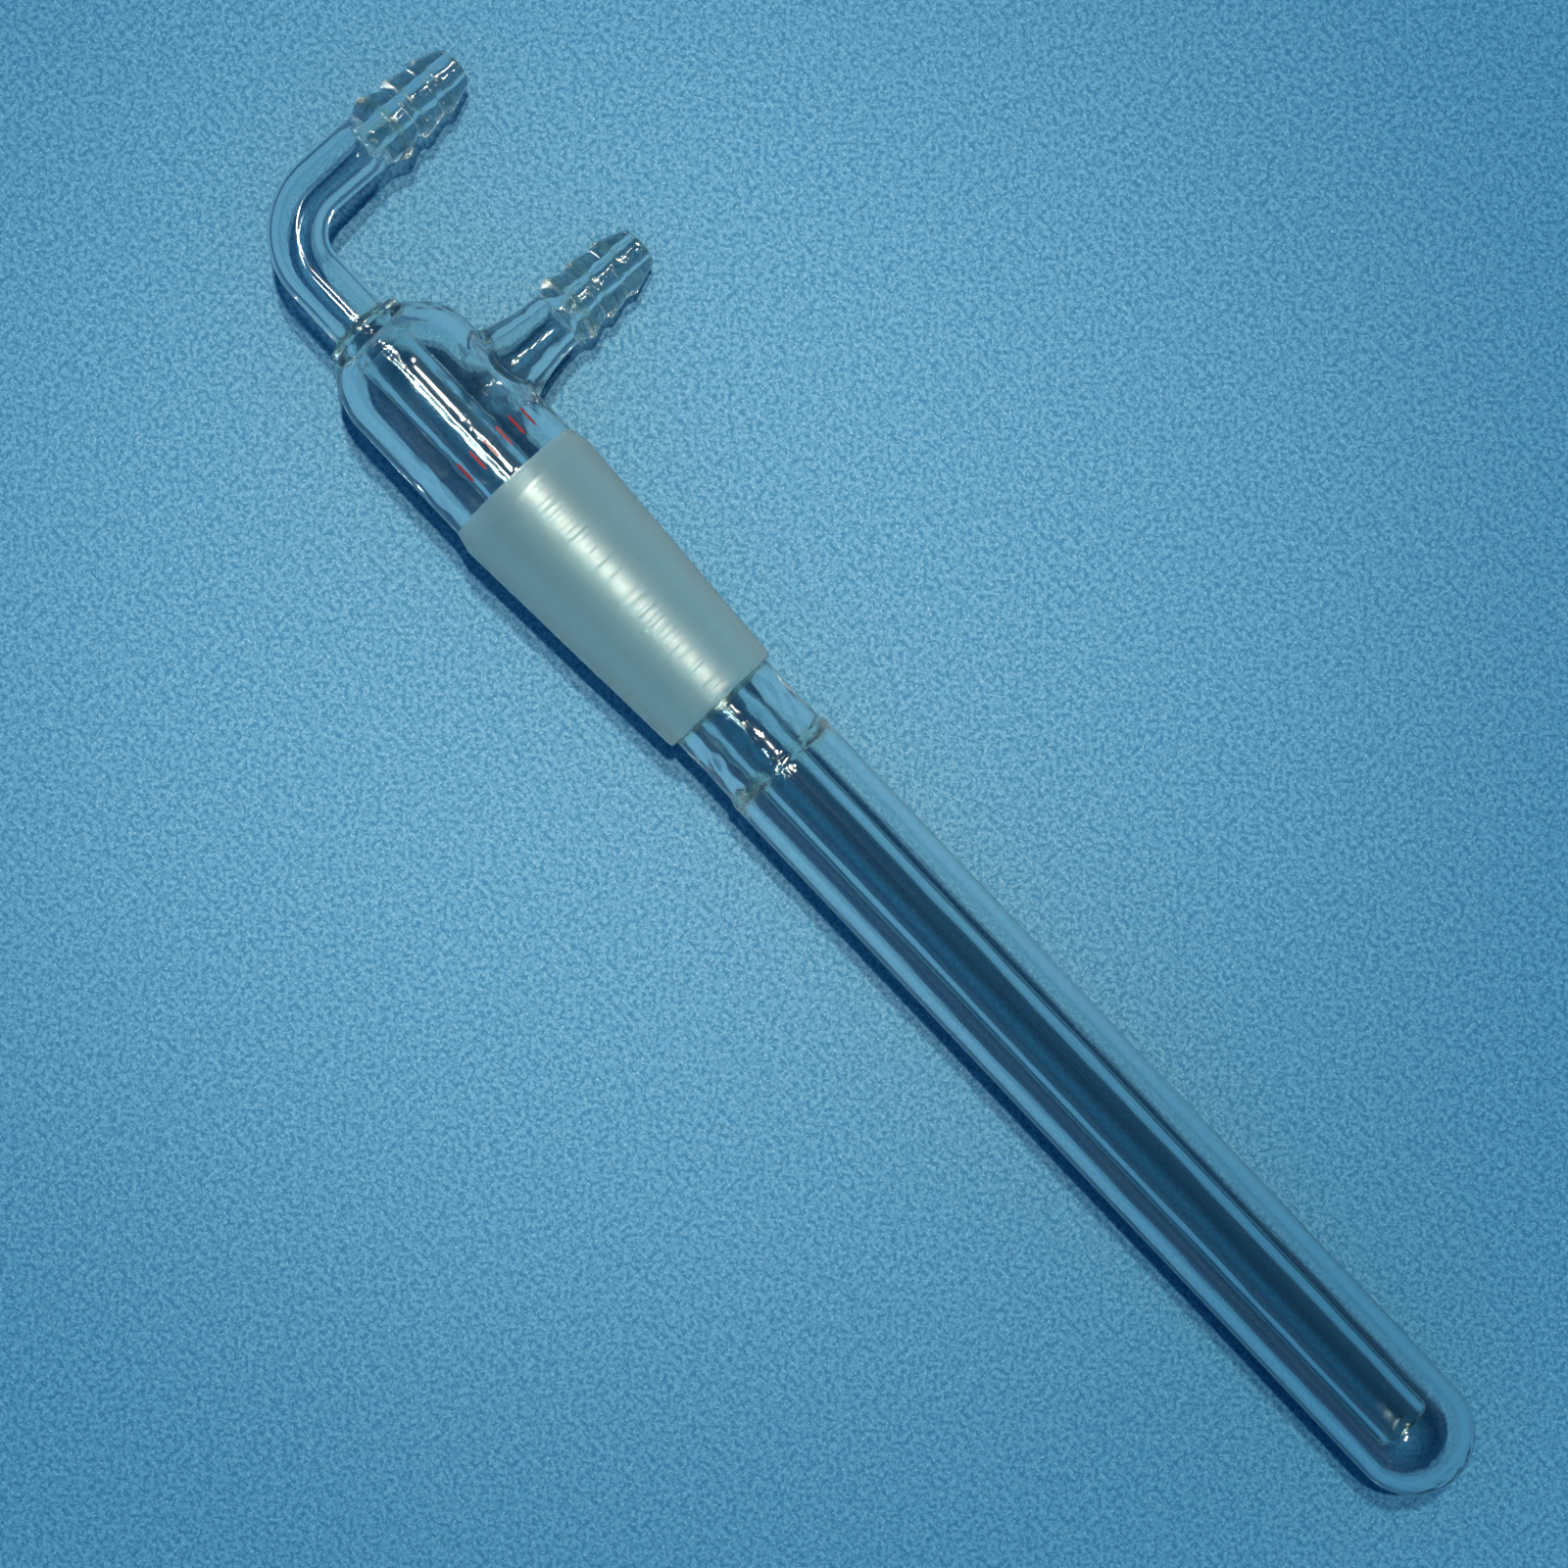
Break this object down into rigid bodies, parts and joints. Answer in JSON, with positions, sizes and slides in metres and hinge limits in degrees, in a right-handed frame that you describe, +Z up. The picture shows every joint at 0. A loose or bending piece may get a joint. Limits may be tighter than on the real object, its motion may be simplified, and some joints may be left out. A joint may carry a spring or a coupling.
{
  "type": "cold finger condenser",
  "caption": "Glass cold finger condenser with a ground taper joint, a closed round-ended finger, an inner dip tube and side hose barbs.",
  "frame": {"origin": "on the bench under the centre of the glass's bounding box as it lies at rest", "axes": "+X from the head towards the finger's closed tip, +Y towards the two hose barbs, +Z up from the bench"},
  "size_m": [0.2584, 0.05, 0.024],
  "materials": {
    "clear_glass": "fire-polished borosilicate glass, clear and smooth, with faint draw waviness and slightly yellower weld beads",
    "ground_glass": "evenly ground frosted borosilicate glass with fine marks round the cone"
  },
  "bodies": {
    "root": {"inlet_hose_barb": "clear_glass", "inlet_bend": "clear_glass", "inlet_ring_seal": "clear_glass", "head_dome": "clear_glass", "head_body": "clear_glass", "outlet_neck": "clear_glass", "outlet_hose_barb": "clear_glass", "joint_tail": "clear_glass", "finger_seal_ring": "clear_glass", "finger_tube": "clear_glass", "finger_end_cap": "clear_glass", "dip_tube": "clear_glass", "ground_joint_cone": "ground_glass"}
  },
  "joints": []
}
